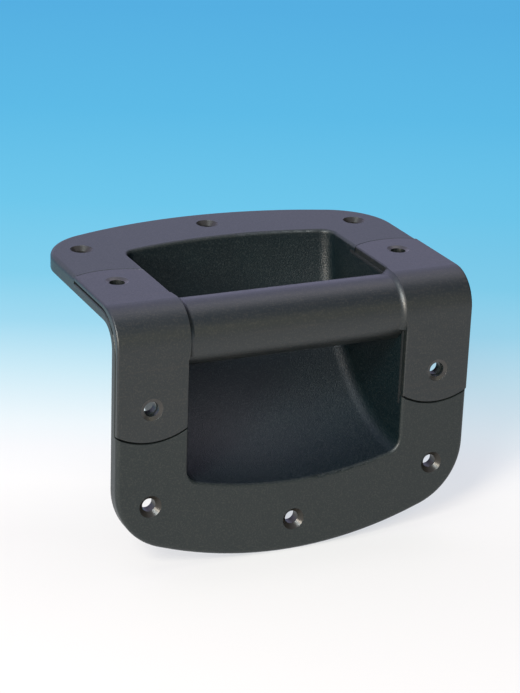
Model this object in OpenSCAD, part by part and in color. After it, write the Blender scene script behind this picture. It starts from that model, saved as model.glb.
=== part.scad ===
// Recessed corner bar handle in two mouldings.
// The dish lies over the top front corner of a cabinet, with a round cup let into the corner.
// The bar handle lies in pockets in the dish: a bar across the cup and two straps bent over the corner.
// X runs along the cabinet's edge, Y goes back over its top and Z up. The origin is the cabinet's own
// edge, in the middle of the handle.

/* [Flanges] */
// Width of the dish along the cabinet's edge
overall_w = 197; // [185:1:215]
// Length of each flange, from the outer corner to the middle of its end edge
flange_reach = 141; // [134:1:155]
// Thickness of the flanges
flange_t = 8; // [7:0.5:10]
// Radius of the bowed end edge of a flange
end_edge_r = 212; // [195:1:250]
// Radius of a flange's outer corners
outer_corner_r = 36; // [28:1:40]
// Rounding of the flange's outer edge
flange_edge_r = 2.5; // [1.5:0.1:3]
// Radius inside the bend, behind the flanges
inner_bend_r = 12; // [8:0.5:14]

/* [Cup] */
// Width of the flange left at each side of the opening
side_border = 38.3; // [34:0.1:42]
// Width of the flange left past the end of the opening, at the middle
end_border = 40; // [37:0.5:44]
// Radius of the bowed end of the opening
opening_end_r = 215; // [195:1:250]
// Radius of the opening's corners, which is also the fillet inside the cup
opening_corner_r = 8; // [5:0.5:12]
// Rounding of the opening's rim
rim_r = 1.7; // [1:0.1:2.2]
// Wall of the cup
cup_wall = 3.5; // [2.5:0.1:4.5]

/* [Straps] */
// Thickness of a strap, and depth of the pocket that holds it
strap_t = 3.6; // [3:0.1:4.4]
// Length of a strap on each flange, from the outer corner to the middle of its end
strap_reach = 68; // [62:1:74]
// Radius of a strap's round end
strap_end_r = 36.7; // [33:0.1:45]
// Radius of the underside of the strap's bend, and of the dish below it
strap_seat_r = 20; // [18:0.5:22]
// Rounding of a strap's upper edges along its sides
strap_edge_r = 1; // [0.5:0.1:1.3]
// Rounding of the upper edge round a strap's end
strap_end_edge_r = 0.3; // [0.2:0.1:1]
// Height of the open groove below a strap's outer edge
groove_t = 1.5; // [1:0.1:1.6]
// Depth of that groove, in from the side of the handle
groove_depth = 3; // [2:0.1:4]
// Distance that a strap's inner edge is set back from the cup's side
strap_set_back = 0.3; // [0:0.1:0.6]
// Open seam between a strap's end and its pocket on the front flange
seam_gap = 0.9; // [0.3:0.1:1.2]
// The same seam on the top flange, where the strap is pushed home
top_seam_gap = 0.2; // [0.1:0.1:0.4]
// Rounding of the pocket's edge along the seams
seam_edge_r = 0.2; // [0.1:0.1:0.5]
// Rounding along both edges of the seat below a strap
seat_edge_r = 0.7; // [0.3:0.1:1]

/* [Bar] */
// Diameter of the bar
bar_d = 34; // [30:0.5:36]
// Depth of the bar's surface below the faces of the straps
bar_step = 1.8; // [1:0.1:2.4]
// Radius of the blend from the bar up to the straps
blend_r = 4; // [3:0.1:5]
// How far down each face the blend runs, from the outer corner
blend_reach = 26.4; // [25:0.2:27]
// Gap between the bar's end and the cup's side
bar_end_gap = 0.3; // [0.2:0.1:0.5]

/* [Screw holes] */
// Distance from a side edge to the screw holes near it
hole_side_inset = 18.5; // [17:0.5:19.5]
// Distance from the end of a flange to its corner holes
corner_hole_inset = 37.7; // [35:0.1:42]
// Distance from the end of a flange to its middle hole
middle_hole_inset = 17.8; // [15:0.1:20]
// Distance from a strap's end to its hole
strap_hole_inset = 17.5; // [15:0.1:20]
// Screw hole through a flange
screw_hole_d = 7.2; // [6:0.1:7.5]
// Screw hole through a strap
strap_hole_d = 8; // [7.6:0.1:8.6]
// Mouth of a countersink. It is cut at 90 degrees in the flanges.
countersink_d = 12; // [10.5:0.1:12.5]
// Depth of the shallower sink round a strap's hole
strap_sink = 0.9; // [0.6:0.1:1.4]

/* [Hidden] */
$fn = 128;
body_colour = [0.17, 0.17, 0.175];
bar_colour = [0.2, 0.2, 0.205];
past = 1;                                            // how far a cut runs past the face it opens
bite = 0.05;                                         // how far a surface stands proud of the next one
rim_over = 0.05;                                     // how far out over the opening its rim's rounding starts
half_w = overall_w / 2;
opening_half_w = half_w - side_border;
opening_reach = flange_reach - end_border;
strap_in = opening_half_w + strap_set_back;          // a strap's inner edge, from the middle of the handle
strap_mid = half_w - hole_side_inset;                // line of the side screws and of the strap's end arc
strap_end_y = strap_reach - strap_end_r;             // centre of the strap's end arc
bar_r = bar_d / 2;
bar_axis = bar_r + bar_step;                         // below each face, and the centre of the straps' bend
bar_end = opening_half_w - bar_end_gap;
blend_axis_r = bar_r + blend_r - bite;
blend_start = in_hundredths(bar_end - sqrt(pow(blend_r, 2) - pow(blend_axis_r - bar_axis, 2)));
blend_end = strap_in + strap_edge_r;                 // the strap's own section starts here beside the blend
hole_corner_y = flange_reach - corner_hole_inset;
hole_middle_y = flange_reach - middle_hole_inset;
hole_strap_y = strap_reach - strap_hole_inset;
screw_sink = (countersink_d - screw_hole_d) / 2;     // depth of a countersink at 90 degrees

// A size that is worked out is brought up to a whole hundredth, so that faces that meet stay in line
function in_hundredths(v) = ceil(100 * v) / 100;

// The shapes below are drawn for the top flange, with the outer corner of the bend at the origin:
// X along the edge, Y back over the flange, Z out of its face. The front flange is their mirror image.
module in_place() { translate([0, -flange_t, flange_t]) children(); }
module each_flange() { children(); mirror([0, 1, 1]) children(); }
module each_side() { children(); mirror([1, 0, 0]) children(); }

// Centre of an outline's corner arc, which runs on into the end arc
function corner_x(half, corner_r) = half - corner_r;
function corner_y(half, reach, end_r, corner_r) =
    reach - end_r + sqrt(pow(end_r - corner_r, 2) - pow(corner_x(half, corner_r), 2));

// Straight sides, round corners and a bowed end: the outline of the opening and of the cup
module outline(half, reach, end_r, corner_r) {
    x = corner_x(half, corner_r);
    y = corner_y(half, reach, end_r, corner_r);
    end_y = reach - end_r;
    translate([-half, 0]) square([2 * half, y]);
    each_side() translate([x, y]) circle(corner_r);
    intersection() {
        translate([0, end_y]) circle(end_r);
        end_fan(x, y, end_y);
    }
}

// The part of an outline between the lines from the end arc's centre through the corner arcs' centres
module end_fan(x, y, end_y) {
    polygon([[-x, y], [x, y], [1.5 * x, end_y + 1.5 * (y - end_y)], [-1.5 * x, end_y + 1.5 * (y - end_y)]]);
}

// What rounding takes off an edge: side 1 rounds an outer edge, side -1 the rim of a hole
module edge_waste(r, side) {
    difference() {
        translate([side > 0 ? -r : -past, -r]) square([r + past, r + past]);
        translate([-side * r, -r]) circle(r);
    }
}

// Section of a plate from its middle out to a wall whose upper edge is rounded
module plate_section(width, thickness, r) {
    difference() {
        translate([0, -thickness]) square([width, thickness]);
        translate([width, 0]) edge_waste(r, 1);
    }
}

// Section of the cut that rounds a rim, from the middle of the hole out to a wall that flares
module rim_section(width, r) {
    difference() {
        translate([0, -r]) square([width + r - rim_over, r + past]);
        translate([width + r - rim_over, -r]) circle(r);
    }
}

// Flange in the form of an outline, its upper edge rounded. The corners stand a hair proud of the end arc.
module flange_plate() {
    x = corner_x(half_w, outer_corner_r);
    y = bite + in_hundredths(corner_y(half_w, flange_reach, end_edge_r, outer_corner_r));
    end_y = flange_reach - end_edge_r;
    each_side() {
        translate([0, y, 0]) rotate([90, 0, 0]) linear_extrude(y)
            plate_section(half_w, flange_t, flange_edge_r);
        translate([x, y, 0]) rotate_extrude() plate_section(outer_corner_r, flange_t, flange_edge_r);
    }
    intersection() {
        translate([0, end_y, 0]) rotate_extrude() plate_section(end_edge_r, flange_t, flange_edge_r);
        translate([0, 0, -flange_t]) linear_extrude(flange_t) end_fan(x, y, end_y);
    }
}

// Cut that rounds the rim of the opening in the same way
module rim_rounding() {
    x = corner_x(opening_half_w, opening_corner_r);
    y = in_hundredths(corner_y(opening_half_w, opening_reach, opening_end_r, opening_corner_r));
    end_y = opening_reach - opening_end_r;
    each_side() {
        translate([0, y, 0]) rotate([90, 0, 0]) linear_extrude(y)
            rim_section(opening_half_w, rim_r);
        translate([x, y, 0]) rotate_extrude() rim_section(opening_corner_r, rim_r);
    }
    intersection() {
        translate([0, end_y, 0]) rotate_extrude() rim_section(opening_end_r, rim_r);
        translate([0, 0, -rim_r]) linear_extrude(rim_r + past) end_fan(x, y, end_y);
    }
}

// Turns a section from the top face round to the front one, about a line along X. The section is drawn
// with X as the distance from that line and Y along it.
module turned_through_corner(over = 0) {
    rotate([-90, 0, 0]) rotate([0, -90, 0]) rotate([0, 0, -over])
        rotate_extrude(angle = 90 + 2 * over) mirror([0, 1]) children();
}

// Turns a section round the outside of a bend. It is drawn as on the top flange: X across, Y out of the face.
module turned_round_bend(radius) {
    rotate([180, 0, 0]) turned_through_corner() translate([radius, 0]) mirror([1, -1]) children();
}

// A quarter space whose edge is rounded, lying a depth below both faces
module below_corner(depth, r, from_x, to_x) {
    far = flange_reach;
    translate([from_x, 0, 0]) rotate([90, 0, 90]) linear_extrude(to_x - from_x) {
        translate([depth + r, -far]) square([far, far - depth]);
        translate([depth, -far]) square([far, far - depth - r]);
        translate([depth + r, -depth - r]) circle(r);
    }
}

// Screw hole with a countersink of a given depth, its mouth in the face at z = 0
module countersunk(hole_d, depth, sink) {
    translate([0, 0, -depth - past]) cylinder(d = hole_d, h = depth + 2 * past);
    translate([0, 0, -sink]) cylinder(d1 = hole_d, d2 = countersink_d, h = sink);
    cylinder(d = countersink_d, h = past);
}

// Places of the screw holes on a flange
module at_corner_holes() { each_side() translate([strap_mid, hole_corner_y, 0]) children(); }
module at_middle_hole() { translate([0, hole_middle_y, 0]) children(); }
module at_strap_holes() { each_side() translate([strap_mid, hole_strap_y, 0]) children(); }

// Cup, seen as the outline of the opening turned through the corner; grow is its wall
module cup_space(grow, over) {
    turned_through_corner(over) mirror([1, -1])
        outline(opening_half_w + grow, opening_reach + grow, opening_end_r + grow, opening_corner_r + grow);
}

// Pocket for a strap on a flange: the strap's outline with a seam round its end
module flange_pocket(gap) {
    translate([0, 0, -strap_t]) linear_extrude(strap_t + past) {
        translate([opening_half_w - past, 0]) square([side_border + 2 * past, strap_end_y]);
        intersection() {
            translate([strap_mid, strap_end_y]) circle(strap_end_r + gap);
            translate([opening_half_w - past, strap_end_y]) square([side_border + 2 * past, strap_reach]);
        }
    }
    translate([strap_mid, strap_end_y, 0]) rotate_extrude()
        translate([strap_end_r + gap, 0]) edge_waste(seam_edge_r, -1);
}

// Both pockets of each strap, and the rounded corner below it
module strap_pockets() {
    each_side() {
        flange_pocket(top_seam_gap);
        mirror([0, 1, 1]) flange_pocket(seam_gap);
        difference() {
            translate([opening_half_w - past, -past, -strap_t - strap_seat_r])
                cube([side_border + 2 * past, strap_t + strap_seat_r + past, strap_t + strap_seat_r + past]);
            below_corner(strap_t, strap_seat_r, opening_half_w - 2 * past, half_w + 2 * past);
        }
    }
}

// Carries a section along an edge of the seat, past the strap's end on both flanges and round the bend
module along_seat_edge(x) {
    each_flange() translate([x, strap_reach, -strap_t]) rotate([90, 0, 0])
        linear_extrude(strap_reach - strap_t - strap_seat_r) children();
    translate([0, strap_t + strap_seat_r, -strap_t - strap_seat_r]) turned_round_bend(strap_seat_r)
        translate([x, 0]) children();
}

// Rounds both edges of the seat below a strap, as far as the seams
module seat_rounding() {
    each_side() intersection() {
        union() {
            along_seat_edge(half_w) edge_waste(seat_edge_r, 1);
            along_seat_edge(opening_half_w) mirror([1, 0]) edge_waste(seat_edge_r, 1);
        }
        union() {
            translate([strap_mid, strap_end_y, -flange_t])
                cylinder(r = strap_end_r + top_seam_gap, h = flange_t);
            mirror([0, 1, 1]) translate([strap_mid, strap_end_y, -flange_t])
                cylinder(r = strap_end_r + seam_gap, h = flange_t);
        }
    }
}

module dish() {
    color(body_colour) in_place() difference() {
        union() {
            each_flange() flange_plate();
            difference() {
                translate([-half_w, flange_t, -flange_t - inner_bend_r])
                    cube([overall_w, inner_bend_r, inner_bend_r]);
                below_corner(flange_t, inner_bend_r, -half_w - past, half_w + past);
            }
            cup_space(cup_wall, 0);
        }
        cup_space(0, past);
        strap_pockets();
        seat_rounding();
        each_flange() {
            rim_rounding();
            at_corner_holes() countersunk(screw_hole_d, flange_t, screw_sink);
            at_middle_hole() countersunk(screw_hole_d, flange_t, screw_sink);
            at_strap_holes() translate([0, 0, -flange_t - past])
                cylinder(d = screw_hole_d, h = flange_t + past);
        }
    }
}

// Section of a strap from a given place outwards: X across it, Y out of its face
module strap_section(from_x, depth) {
    difference() {
        translate([from_x, -depth]) square([half_w - from_x, depth]);
        translate([half_w, 0]) edge_waste(strap_edge_r, 1);
        if (from_x == strap_in) translate([from_x, 0]) mirror([1, 0]) edge_waste(strap_edge_r, 1);
    }
}

// A strap on the top flange, from the bend to its round end. Beside the blend its inner edge isn't rounded.
module strap_length() {
    depth = 2 * strap_t;
    translate([0, blend_reach, 0]) rotate([90, 0, 0]) linear_extrude(blend_reach - bar_axis)
        strap_section(blend_end, depth);
    translate([0, strap_end_y, 0]) rotate([90, 0, 0]) linear_extrude(strap_end_y - blend_reach)
        strap_section(strap_in, depth);
    intersection() {
        translate([0, strap_reach, 0]) rotate([90, 0, 0]) linear_extrude(strap_end_r)
            strap_section(strap_in, depth);
        translate([strap_mid, strap_end_y, 0]) rotate_extrude()
            plate_section(strap_end_r, depth, strap_end_edge_r);
        translate([0, strap_end_y, -depth]) cube([half_w, strap_end_r, depth]);
    }
}

// Both straps, with the hollow that fits the dish below them
module straps() {
    each_side() difference() {
        union() {
            each_flange() strap_length();
            translate([0, bar_axis, -bar_axis]) turned_round_bend(bar_axis)
                strap_section(blend_end, bar_axis);
            blend();
        }
        below_corner(strap_t, strap_seat_r, bar_end, half_w + past);
        along_seat_edge(half_w) translate([-groove_depth, -past])
            square([groove_depth + past, groove_t + past]);
        each_flange() at_strap_holes() countersunk(strap_hole_d, 2 * strap_t, strap_sink);
    }
}

// Blend that leads from the bar up to the strap's face, cut off level on both faces
module blend() {
    intersection() {
        translate([0, bar_axis, -bar_axis]) rotate([0, 90, 0]) rotate_extrude() difference() {
            translate([0, blend_start]) square([2 * bar_axis, blend_end - blend_start]);
            translate([blend_axis_r, blend_start]) circle(blend_r);
            translate([blend_axis_r, blend_start - past]) square([2 * bar_axis, blend_r + past]);
        }
        below_corner(0, bar_axis, blend_start, blend_end);
        translate([blend_start, 0, -blend_reach]) cube([blend_end - blend_start, blend_reach, blend_reach]);
    }
}

module bar_handle() {
    color(bar_colour) in_place() {
        straps();
        translate([-bar_end, bar_axis, -bar_axis]) rotate([0, 90, 0]) cylinder(r = bar_r, h = 2 * bar_end);
    }
}

dish();
bar_handle();
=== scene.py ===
import bpy
import math
import numpy as np
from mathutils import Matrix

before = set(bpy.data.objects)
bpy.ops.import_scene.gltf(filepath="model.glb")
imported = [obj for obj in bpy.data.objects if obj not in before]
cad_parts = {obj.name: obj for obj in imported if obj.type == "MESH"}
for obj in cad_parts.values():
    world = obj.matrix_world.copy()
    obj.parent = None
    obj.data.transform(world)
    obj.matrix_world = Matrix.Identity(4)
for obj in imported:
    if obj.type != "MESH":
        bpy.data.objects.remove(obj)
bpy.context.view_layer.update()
scene = bpy.context.scene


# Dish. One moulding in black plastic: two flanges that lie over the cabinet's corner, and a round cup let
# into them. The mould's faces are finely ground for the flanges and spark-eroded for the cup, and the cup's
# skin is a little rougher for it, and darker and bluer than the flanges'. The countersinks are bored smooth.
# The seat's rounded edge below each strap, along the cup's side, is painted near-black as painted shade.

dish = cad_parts["dish"]

flange_face = 0.008           # height of the top face, and how far the front face stands out from the cabinet
side_holes = 0.080            # from the middle to the side rows of screws
corner_holes = 0.1033         # from the outer corner, along either flange, to the screws at its two corners
middle_hole = 0.1232          # and to the screw in its middle
countersink_mouth = 0.0061
countersink_depth = 0.0081
cup_side = 0.0606             # from the middle to just inside the cup's side walls
rim_top, rim_foot = 0.0006, 0.0024          # depths where the cup's skin begins and has replaced the flange's
seat_top, seat_foot = 0.0031, 0.0051        # depths of the seat's rounded edge below a strap
seat_inner, seat_outer = 0.0596, 0.0612     # and its distances from the middle
seat_end = 0.068              # how far along a flange it runs
grains_a_metre = 1300.0
flecks_a_metre = 1150.0
flange_black, flange_grey = (0.0072, 0.0108, 0.0110, 1.0), (0.0108, 0.0142, 0.0138, 1.0)
flange_fleck = (0.034, 0.036, 0.032, 1.0)
cup_black, cup_grey = (0.0001, 0.0030, 0.0044, 1.0), (0.0002, 0.0050, 0.0064, 1.0)
cup_fleck = (0.024, 0.031, 0.030, 1.0)
bored_grey = (0.016, 0.0145, 0.012, 1.0)
bored_roughness = 0.34
# Painted shade: the near-black colour and the roughness put on the seat's rounded edge below each strap.
painted_shade_black = (0.0015, 0.0030, 0.0035, 1.0)
shaded_roughness = 0.85


def new_plastic(name):
    """An empty material; its nodes are added by the section that uses it."""
    made = bpy.data.materials.new(name)
    made.use_nodes = True
    made.node_tree.nodes.clear()
    return made


def add(tree, kind, into=None, **settings):
    """A node of that kind in the tree, with its properties set, and numbers or links put into its inputs."""
    node = tree.nodes.new(kind)
    for key, value in settings.items():
        setattr(node, key, value)
    for socket, source in (into or {}).items():
        if isinstance(source, bpy.types.NodeSocket):
            tree.links.new(source, node.inputs[socket])
        else:
            node.inputs[socket].default_value = source
    return node


def math_of(tree, operation, *values, clamp=False):
    """The result of a Math node on up to three values, each a number or another node's output."""
    node = add(tree, "ShaderNodeMath", operation=operation, use_clamp=clamp, into=dict(enumerate(values)))
    return node.outputs[0]


def all_of(tree, first, *others):
    """The product of shares: 1 where all of them are 1, 0 where any is 0."""
    for other in others:
        first = math_of(tree, "MULTIPLY", first, other)
    return first


def within(tree, value, low, high):
    """1 where the value is between low and high, 0 elsewhere."""
    return all_of(tree, math_of(tree, "GREATER_THAN", value, low), math_of(tree, "LESS_THAN", value, high))


def ramp_between(tree, value, low, high):
    """0 below low, 1 above high, and a smooth step between them."""
    node = add(tree, "ShaderNodeMapRange", interpolation_type="SMOOTHSTEP",
               into={"Value": value, "From Min": low, "From Max": high})
    return node.outputs["Result"]


def mixed(tree, share, first, second):
    """The first number where share is 0, the second where it is 1."""
    node = add(tree, "ShaderNodeMix", data_type="FLOAT", into={0: share, 2: first, 3: second})
    return node.outputs[0]


def mixed_colour(tree, share, first, second):
    """The first colour where share is 0, the second where it is 1."""
    node = add(tree, "ShaderNodeMix", data_type="RGBA", into={0: share, 6: first, 7: second})
    return node.outputs[2]


def noise_of(tree, place, scale, detail, roughness=0.5):
    """Noise from 0 to 1 with about that many features a metre."""
    node = add(tree, "ShaderNodeTexNoise",
               into={"Vector": place, "Scale": scale, "Detail": detail, "Roughness": roughness})
    return node.outputs["Fac"]


def corner_places(tree):
    """Where a point is on the folded handle: its distance from the middle, its distance along either flange
    from the outer corner, and its depth below the nearer face."""
    place = add(tree, "ShaderNodeTexCoord").outputs["Object"]
    parts = add(tree, "ShaderNodeSeparateXYZ", into={0: place})
    across = math_of(tree, "ABSOLUTE", parts.outputs[0])
    from_front = math_of(tree, "ADD", parts.outputs[1], flange_face)
    from_top = math_of(tree, "SUBTRACT", flange_face, parts.outputs[2])
    along = math_of(tree, "MAXIMUM", from_front, from_top)
    depth = math_of(tree, "MINIMUM", from_front, from_top)
    return place, across, along, depth


def sunk_hole(tree, across, along, depth, hole_across, hole_along, mouth, sink):
    """1 on the sunk part of the hole at that place on both flanges, 0 beyond its mouth and below its sink."""
    spot = add(tree, "ShaderNodeCombineXYZ", into={0: across, 1: along})
    away = add(tree, "ShaderNodeVectorMath", operation="DISTANCE",
               into={0: spot.outputs[0], 1: (hole_across, hole_along, 0.0)}).outputs["Value"]
    just_below_face = 0.00006
    return all_of(tree, math_of(tree, "LESS_THAN", away, mouth), within(tree, depth, just_below_face, sink))


def give_skin(tree, tone, rough, relief, ior):
    """The shader of a moulded skin, from its colour, its roughness, its relief in metres and its IOR."""
    bump = add(tree, "ShaderNodeBump", into={"Height": relief, "Strength": 0.6, "Distance": 1.0})
    skin = add(tree, "ShaderNodeBsdfPrincipled",
               into={"Base Color": tone, "Roughness": rough, "Normal": bump.outputs[0], "IOR": ior})
    add(tree, "ShaderNodeOutputMaterial", into={"Surface": skin.outputs[0]})


dish_plastic = new_plastic("dish_plastic_moulded")
tree = dish_plastic.node_tree
place, across, along, depth = corner_places(tree)
in_cup = all_of(tree, ramp_between(tree, depth, rim_top, rim_foot),
                math_of(tree, "LESS_THAN", across, cup_side))
countersinks = math_of(
    tree, "MAXIMUM",
    sunk_hole(tree, across, along, depth, side_holes, corner_holes, countersink_mouth, countersink_depth),
    sunk_hole(tree, across, along, depth, 0.0, middle_hole, countersink_mouth, countersink_depth))
# Painted shade: the seat's rounded edge below each strap, beside the cup, is painted near-black and rough.
seat_edge_painted_shade = all_of(tree, within(tree, depth, seat_top, seat_foot),
                   within(tree, across, seat_inner, seat_outer), math_of(tree, "LESS_THAN", along, seat_end))
flow = noise_of(tree, place, 14.0, 3.0)
cloud = noise_of(tree, place, 60.0, 4.0)
grain = noise_of(tree, place, grains_a_metre, 3.0, 0.6)
fleck = ramp_between(tree, noise_of(tree, place, flecks_a_metre, 1.5), 0.50, 0.66)
flange_tone = mixed_colour(tree, flow, flange_black, flange_grey)
flange_tone = mixed_colour(tree, math_of(tree, "MULTIPLY", fleck, 0.38), flange_tone, flange_fleck)
cup_tone = mixed_colour(tree, cloud, cup_black, cup_grey)
cup_tone = mixed_colour(tree, math_of(tree, "MULTIPLY", fleck, 0.32), cup_tone, cup_fleck)
tone = mixed_colour(tree, in_cup, flange_tone, cup_tone)
tone = mixed_colour(tree, countersinks, tone, bored_grey)
tone = mixed_colour(tree, seat_edge_painted_shade, tone, painted_shade_black)
rough = mixed(tree, in_cup, math_of(tree, "MULTIPLY_ADD", grain, 0.16, 0.36),
              math_of(tree, "MULTIPLY_ADD", grain, 0.34, 0.24))
rough = mixed(tree, countersinks, rough, bored_roughness)
rough = mixed(tree, seat_edge_painted_shade, rough, shaded_roughness)
relief = mixed(tree, in_cup, math_of(tree, "MULTIPLY", grain, 0.00009),
               math_of(tree, "MULTIPLY", grain, 0.00040))
relief = mixed(tree, countersinks, relief, 0.0)
give_skin(tree, tone, rough, relief, 1.42)
dish.material_slots[0].material = dish_plastic


# Bar handle. One moulding in the same black plastic: the round bar across the cup and the two straps that
# bend over the corner and lie in the dish's pockets. It is ground smoother where the hand goes, and the
# screws that hold the dish at the straps go through it. The straps' inner sides are painted darker than the
# rest, as painted shade.

bar_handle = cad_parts["bar_handle"]

strap_holes = 0.0505          # from the outer corner, along either flange, to the screws through the straps
sink_mouth = 0.0061
sink_depth = 0.0009
bar_end, blend_end = 0.056, 0.061           # from the middle to where the bar passes into the straps
side_start = 0.041            # from the outer corner to where a strap's inner side is clear of the bar
side_reach = 0.06015          # from the middle to just past that side
side_top = 0.0004             # depth where that side begins, below its rounded edge
handle_black, handle_grey = (0.0012, 0.0036, 0.0040, 1.0), (0.0030, 0.0052, 0.0052, 1.0)
handled_grey = (0.016, 0.014, 0.011, 1.0)
handle_fleck = (0.032, 0.029, 0.023, 1.0)
# Painted shade: the near-black colour put on the straps' inner sides.
side_painted_shade_black = (0.0004, 0.0012, 0.0015, 1.0)

handle_plastic = new_plastic("handle_plastic_moulded")
tree = handle_plastic.node_tree
place, across, along, depth = corner_places(tree)
sinks = sunk_hole(tree, across, along, depth, side_holes, strap_holes, sink_mouth, sink_depth)
on_bar = math_of(tree, "SUBTRACT", 1.0, ramp_between(tree, across, bar_end, blend_end))
# Painted shade: each strap's inner side, clear of the bar, is painted near-black and rough.
strap_side_painted_shade = all_of(tree, math_of(tree, "GREATER_THAN", along, side_start),
                    math_of(tree, "LESS_THAN", across, side_reach),
                    math_of(tree, "GREATER_THAN", depth, side_top))
flow = noise_of(tree, place, 16.0, 3.0)
grain = noise_of(tree, place, grains_a_metre, 3.0, 0.6)
fleck = ramp_between(tree, noise_of(tree, place, flecks_a_metre, 1.5), 0.50, 0.66)
stretched = add(tree, "ShaderNodeMapping", into={0: place, "Scale": (18.0, 400.0, 400.0)}).outputs[0]
handling = ramp_between(tree, noise_of(tree, stretched, 1.0, 3.0), 0.55, 0.75)
tone = mixed_colour(tree, flow, handle_black, handle_grey)
tone = mixed_colour(tree, math_of(tree, "MULTIPLY", handling, 0.30), tone, handled_grey)
tone = mixed_colour(tree, math_of(tree, "MULTIPLY", fleck, 0.32), tone, handle_fleck)
tone = mixed_colour(tree, sinks, tone, bored_grey)
tone = mixed_colour(tree, strap_side_painted_shade, tone, side_painted_shade_black)
rough = math_of(tree, "MULTIPLY_ADD", grain, 0.16, 0.35)
rough = math_of(tree, "SUBTRACT", rough, math_of(tree, "MULTIPLY", on_bar, 0.03))
rough = mixed(tree, sinks, rough, bored_roughness)
rough = mixed(tree, strap_side_painted_shade, rough, shaded_roughness)
relief = mixed(tree, sinks, math_of(tree, "MULTIPLY", grain, 0.00010), 0.0)
give_skin(tree, tone, rough, relief, 1.56)
bar_handle.material_slots[0].material = handle_plastic


# Studio floor. A white sweep under the handle that passes into pale blue further off, as behind a product
# photograph. It carries the handle's soft shadow, and shows in the handle's gloss at less than its full glow.

floor_height = -0.133         # the handle stands on the front flange's lower edge
floor_reach = 12.0
fade_way = (0.423, 0.906, 0.0)              # level and away from the camera
fade_length = 1.5
fade_colours = [
    (0.000, (0.962, 0.967, 0.978)), (0.045, (1.02, 1.03, 1.04)), (0.075, (0.97, 1.0, 1.03)),
    (0.100, (0.89, 0.985, 1.03)), (0.156, (0.629, 0.881, 0.984)), (0.213, (0.375, 0.755, 0.939)),
    (0.277, (0.245, 0.69, 0.92)), (0.390, (0.174, 0.646, 0.926)), (0.580, (0.130, 0.585, 0.916)),
    (0.870, (0.115, 0.54, 0.91)),
]
matt_tint = (0.58, 0.50, 0.42, 1.0)
glow_tint = (0.96, 1.01, 1.054, 1.0)
glow_strength = 1.12
glow_to_camera = 0.527        # share of the floor's look that is its own glow, and not light on its paint
glow_in_gloss = 0.74          # the same share where it is seen in a glossy face


def floor_grid(reach, height, steps):
    """A level square at that height, of steps by steps faces, from -reach to reach both ways."""
    line = np.linspace(-reach, reach, steps + 1)
    x, y = np.meshgrid(line, line)
    points = np.stack([x, y, np.full_like(x, height)], -1).reshape(-1, 3)
    first = (np.arange(steps)[:, None] * (steps + 1) + np.arange(steps)[None, :]).reshape(-1)
    faces = np.stack([first, first + 1, first + steps + 2, first + steps + 1], -1)
    return points, faces


def tinted(tree, first, second):
    """The product of two colours."""
    node = add(tree, "ShaderNodeMix", data_type="RGBA", blend_type="MULTIPLY",
               into={0: 1.0, 6: first, 7: second})
    return node.outputs[2]


points, faces = floor_grid(floor_reach, floor_height, 8)
floor_mesh = bpy.data.meshes.new("floor")
floor_mesh.from_pydata(points.tolist(), [], faces.tolist())
floor = bpy.data.objects.new("floor", floor_mesh)
scene.collection.objects.link(floor)

floor_paint = new_plastic("floor_paint")
tree = floor_paint.node_tree
place = add(tree, "ShaderNodeTexCoord").outputs["Object"]
away = add(tree, "ShaderNodeVectorMath", operation="DOT_PRODUCT",
           into={0: place, 1: fade_way}).outputs["Value"]
fade = add(tree, "ShaderNodeValToRGB", into={0: math_of(tree, "DIVIDE", away, fade_length, clamp=True)})
while len(fade.color_ramp.elements) < len(fade_colours):
    fade.color_ramp.elements.new(0.5)
for element, (at, colour) in zip(fade.color_ramp.elements, fade_colours):
    element.position = at
    element.color = (*colour, 1.0)
matt = add(tree, "ShaderNodeBsdfDiffuse", into={"Color": tinted(tree, fade.outputs[0], matt_tint)})
glow = add(tree, "ShaderNodeEmission",
           into={"Color": tinted(tree, fade.outputs[0], glow_tint), "Strength": glow_strength})
ray = add(tree, "ShaderNodeLightPath")
in_gloss = math_of(tree, "MAXIMUM", ray.outputs["Is Glossy Ray"], ray.outputs["Is Transmission Ray"])
own_light = math_of(tree, "MAXIMUM", math_of(tree, "MULTIPLY", in_gloss, glow_in_gloss),
                    math_of(tree, "MULTIPLY", ray.outputs["Is Camera Ray"], glow_to_camera))
blend = add(tree, "ShaderNodeMixShader", into={0: own_light, 1: matt.outputs[0], 2: glow.outputs[0]})
add(tree, "ShaderNodeOutputMaterial", into={"Surface": blend.outputs[0]})
floor_mesh.materials.append(floor_paint)


# Studio light. A dim room, bluer behind the handle than in front of it and dark on the right, a small warm
# lamp low on the left that draws the handle's shadow, and four softer lamps: one more on the left, two high
# above the top flange and a weak one low in front for the inside of the cup.

room_front = (0.39, 0.43, 0.60, 1.0)
room_behind = (0.97, 0.96, 1.42, 1.0)
room_right = (0.02, 0.02, 0.03, 1.0)
room_strength = 0.85
corner_of_handle = (0.0, 0.0, 0.0)
foot_of_handle = (0.0, 0.0, -0.133)

room = bpy.data.worlds.new("room")
scene.world = room
room.use_nodes = True
tree = room.node_tree
tree.nodes.clear()
direction = add(tree, "ShaderNodeTexCoord").outputs["Generated"]
sides = add(tree, "ShaderNodeSeparateXYZ", into={0: direction})
walls = mixed_colour(tree, ramp_between(tree, sides.outputs[1], -0.25, 0.5), room_front, room_behind)
walls = mixed_colour(tree, ramp_between(tree, sides.outputs[0], 0.45, 0.85), walls, room_right)
air = add(tree, "ShaderNodeBackground", into={"Color": walls, "Strength": room_strength})
add(tree, "ShaderNodeOutputWorld", into={"Surface": air.outputs[0]})


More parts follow.
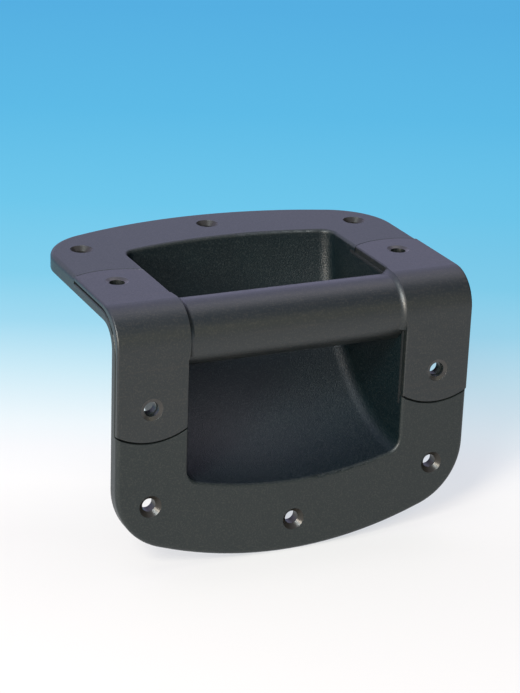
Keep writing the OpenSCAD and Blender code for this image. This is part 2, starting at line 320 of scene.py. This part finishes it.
def soft_lamp(name, place, target, size, power, colour):
    """A square area lamp at place whose light falls towards target: its -Z axis runs from place to target."""
    lamp_data = bpy.data.lights.new(name, "AREA")
    lamp_data.size = size
    lamp_data.energy = power
    lamp_data.color = colour
    lamp = bpy.data.objects.new(name, lamp_data)
    scene.collection.objects.link(lamp)
    back = np.array(place) - np.array(target)
    back = back / np.linalg.norm(back)
    side = np.cross((0.0, 0.0, 1.0), back)
    side = side / np.linalg.norm(side)
    matrix = np.eye(4)
    matrix[:3, 0], matrix[:3, 1], matrix[:3, 2], matrix[:3, 3] = side, np.cross(back, side), back, place
    lamp.matrix_world = matrix.T
    lamp.visible_camera = False


soft_lamp("lamp_overhead", (0.70, 0.30, 1.50), corner_of_handle, 1.0, 3.9, (1.0, 0.95, 0.93))
soft_lamp("lamp_high_left", (-0.60, 0.0, 1.40), corner_of_handle, 0.8, 6.0, (0.90, 1.0, 1.0))
soft_lamp("lamp_key", (-1.48, -1.17, 0.54), foot_of_handle, 0.3, 36.0, (1.0, 0.90, 0.76))
soft_lamp("lamp_left", (-1.0, -0.9, 1.0), corner_of_handle, 0.5, 30.0, (0.93, 1.0, 1.0))
soft_lamp("lamp_front", (0.42, -1.25, 0.42), corner_of_handle, 0.7, 1.5, (1.0, 0.92, 0.50))


# Camera. It stands in front of the handle, to its left and a little above it, with the long lens of a
# product photograph: the front flange, the top flange and the inside of the cup show.

yaw, pitch, roll = math.radians(25.05), math.radians(21.13), math.radians(2.15)
camera_place = (-0.4417, -0.90436, 0.36616)

camera_data = bpy.data.cameras.new("camera")
camera_data.sensor_width = 36.0
camera_data.lens = 110.47
camera_data.clip_end = 50.0
camera = bpy.data.objects.new("camera", camera_data)
scene.collection.objects.link(camera)
forward = np.array([math.sin(yaw) * math.cos(pitch), math.cos(yaw) * math.cos(pitch), -math.sin(pitch)])
level_right = np.array([math.cos(yaw), -math.sin(yaw), 0.0])
level_up = np.cross(level_right, forward)
matrix = np.eye(4)
matrix[:3, 0] = math.cos(roll) * level_right + math.sin(roll) * level_up
matrix[:3, 1] = -math.sin(roll) * level_right + math.cos(roll) * level_up
matrix[:3, 2] = -forward
matrix[:3, 3] = camera_place
camera.matrix_world = matrix.T
scene.camera = camera
scene.view_settings.view_transform = "Standard"
